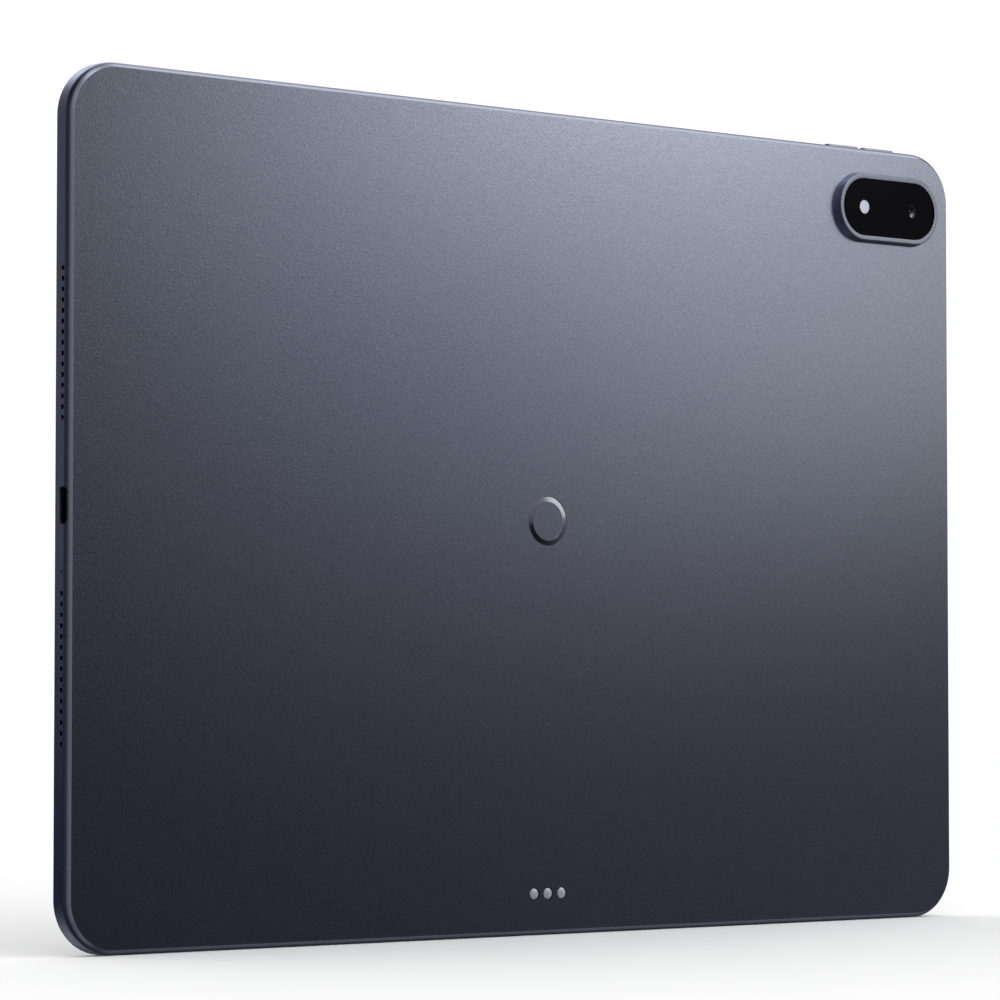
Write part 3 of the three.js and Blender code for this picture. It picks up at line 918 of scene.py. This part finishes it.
def dress_cad_nodes():
    """Gives each CAD node that still shows the look of its material slot."""
    for part in frame["record"]["subparts"]:
        look = SLOT_LOOKS.get(part["material_slot"])
        node = frame["nodes"][part["node"]]
        if look and not node.hide_render:
            for material_slot in node.material_slots:
                material_slot.material = LOOKS[look]


# ------------------------------------------------------------------ stage, light and camera

ROOM_BRIGHTNESS = 1.08
MIRRORED_DARK = (0.002, 0.002, 0.003)  # what metal mirrors between the glows

# Each glow's azimuth and elevation in degrees, how narrow it is and its colour.
MIRRORED_GLOWS = [
    (85, 0, 10, (0.29, 0.295, 0.375)),
    (-95, 0, 5, (0.03, 0.032, 0.05)),
    (-141, -20, 8, (0.002, 0.003, 0.014)),
    (95, 51, 20, (0.88, 0.88, 0.92)),
    (8, 63, 22, (1.4, 1.4, 1.5)),
    (-36, 38, 20, (0.32, 0.32, 0.35)),
    (-42, 14, 16, (0.26, 0.255, 0.27)),
    (-45, -24, 20, (0.15, 0.15, 0.175)),
    (-10, -50, 18, (0.28, 0.28, 0.33)),
    (75, -50, 16, (0.12, 0.123, 0.13)),
    (161, 38, 16, (1.3, 1.33, 1.45)),
    (-176, -39, 12, (0.25, 0.25, 0.28)),
]

def camera():
    """Looks at the back from beyond the port's edge, from slightly below the middle."""
    azimuth, elevation = radians(140.95), radians(-2.69)
    distance, aim_right, aim_up = 1.0455, -0.0103, 0.0055
    back = Vector((sin(azimuth) * cos(elevation), -cos(azimuth) * cos(elevation), sin(elevation)))
    right = Vector((0, 0, 1)).cross(back).normalized()
    up = back.cross(right)
    data = bpy.data.cameras.new("camera")
    data.lens = 147.65
    data.sensor_width = 36
    data.clip_start = 0.05
    data.clip_end = 50
    made = bpy.data.objects.new("camera", data)
    made.rotation_mode = "QUATERNION"
    made.rotation_quaternion = (-back).to_track_quat("-Z", "Y")
    made.location = CENTRE + back * distance + right * aim_right + up * aim_up
    bpy.context.scene.collection.objects.link(made)
    bpy.context.scene.camera = made


def floor():
    """A pale floor that metal doesn't mirror."""
    half = 6.0
    made = new_object(
        "floor",
        [(-half, -half, 0), (half, -half, 0), (half, half, 0), (-half, half, 0)],
        [(0, 1, 2, 3)],
    )
    look = material("floor_paint", (0.93, 0.93, 0.93), 0.9, Specular_IOR_Level=0.0)
    made.data.materials.append(vary_roughness(look, noise(look, 40), 0.85, 0.95))
    made.visible_glossy = False


def direction(azimuth, elevation):
    """A unit vector: azimuth in degrees from +Y towards -X, elevation up from level."""
    a, e = radians(azimuth), radians(elevation)
    return Vector((-sin(a) * cos(e), cos(a) * cos(e), sin(e)))


def softbox(name, azimuth, elevation, distance, size, power, color=(1, 1, 1)):
    """A soft lamp at a distance from the body's centre, turned to face it."""
    data = bpy.data.lights.new(name, "AREA")
    data.shape = "RECTANGLE"
    data.size, data.size_y = size
    data.energy = power
    data.color = color
    made = bpy.data.objects.new(name, data)
    made.location = CENTRE + direction(azimuth, elevation) * distance
    made.rotation_mode = "QUATERNION"
    made.rotation_quaternion = (-direction(azimuth, elevation)).to_track_quat("-Z", "Y")
    made.visible_camera = False
    bpy.context.scene.collection.objects.link(made)


def world():
    """An even white room, in which metal mirrors a dim blue one with a few soft glows."""
    made = bpy.data.worlds.new("studio")
    made.use_nodes = True
    tree = made.node_tree
    where = tree.nodes.new("ShaderNodeTexCoord").outputs["Generated"]
    total = None
    for azimuth, elevation, sharpness, color in MIRRORED_GLOWS:
        along = tree.nodes.new("ShaderNodeVectorMath")
        along.operation = "DOT_PRODUCT"
        along.inputs[1].default_value = direction(azimuth, elevation)
        falloff = tree.nodes.new("ShaderNodeMath")
        falloff.operation = "MULTIPLY_ADD"
        falloff.inputs[1].default_value = sharpness
        falloff.inputs[2].default_value = -sharpness
        glow = tree.nodes.new("ShaderNodeMath")
        glow.operation = "EXPONENT"
        tinted = tree.nodes.new("ShaderNodeVectorMath")
        tinted.operation = "MULTIPLY_ADD"
        tinted.inputs[1].default_value = color
        tree.links.new(where, along.inputs[0])
        tree.links.new(along.outputs["Value"], falloff.inputs[0])
        tree.links.new(falloff.outputs[0], glow.inputs[0])
        tree.links.new(glow.outputs[0], tinted.inputs[0])
        if total is None:
            tinted.inputs[2].default_value = MIRRORED_DARK
        else:
            tree.links.new(total, tinted.inputs[2])
        total = tinted.outputs[0]
    seen = tree.nodes.new("ShaderNodeLightPath")
    pick = tree.nodes.new("ShaderNodeMix")
    pick.data_type = "RGBA"
    tree.links.new(seen.outputs["Is Glossy Ray"], pick.inputs["Factor"])
    pick.inputs["A"].default_value = (ROOM_BRIGHTNESS, ROOM_BRIGHTNESS, ROOM_BRIGHTNESS, 1)
    tree.links.new(total, pick.inputs["B"])
    tree.links.new(pick.outputs["Result"], tree.nodes["Background"].inputs["Color"])
    # Picked as a lamp, it would show its other brightness to metal.
    made.cycles.sampling_method = "NONE"
    bpy.context.scene.world = made


camera()
floor()
world()
softbox("low_softbox", 38, 11, 0.6, (0.3, 0.2), 0.024, (0.76, 0.76, 1))
softbox("outer_softbox", 55, 14, 0.6, (0.3, 0.2), 0.089, (1, 1, 0.92))
softbox("high_softbox", 38, 24, 0.6, (0.3, 0.2), 0.096)
softbox("top_softbox", 50, 35, 0.42, (0.2, 0.15), 0.1, (0.98, 1, 0.87))
softbox("side_softbox", -141, 15, 0.7, (0.45, 0.45), 0.058, (0.88, 0.88, 1))
bpy.context.scene.view_settings.view_transform = "Standard"

housing()
screen()
rear_camera()
keys()
port()
contacts()
emblem()
dress_cad_nodes()
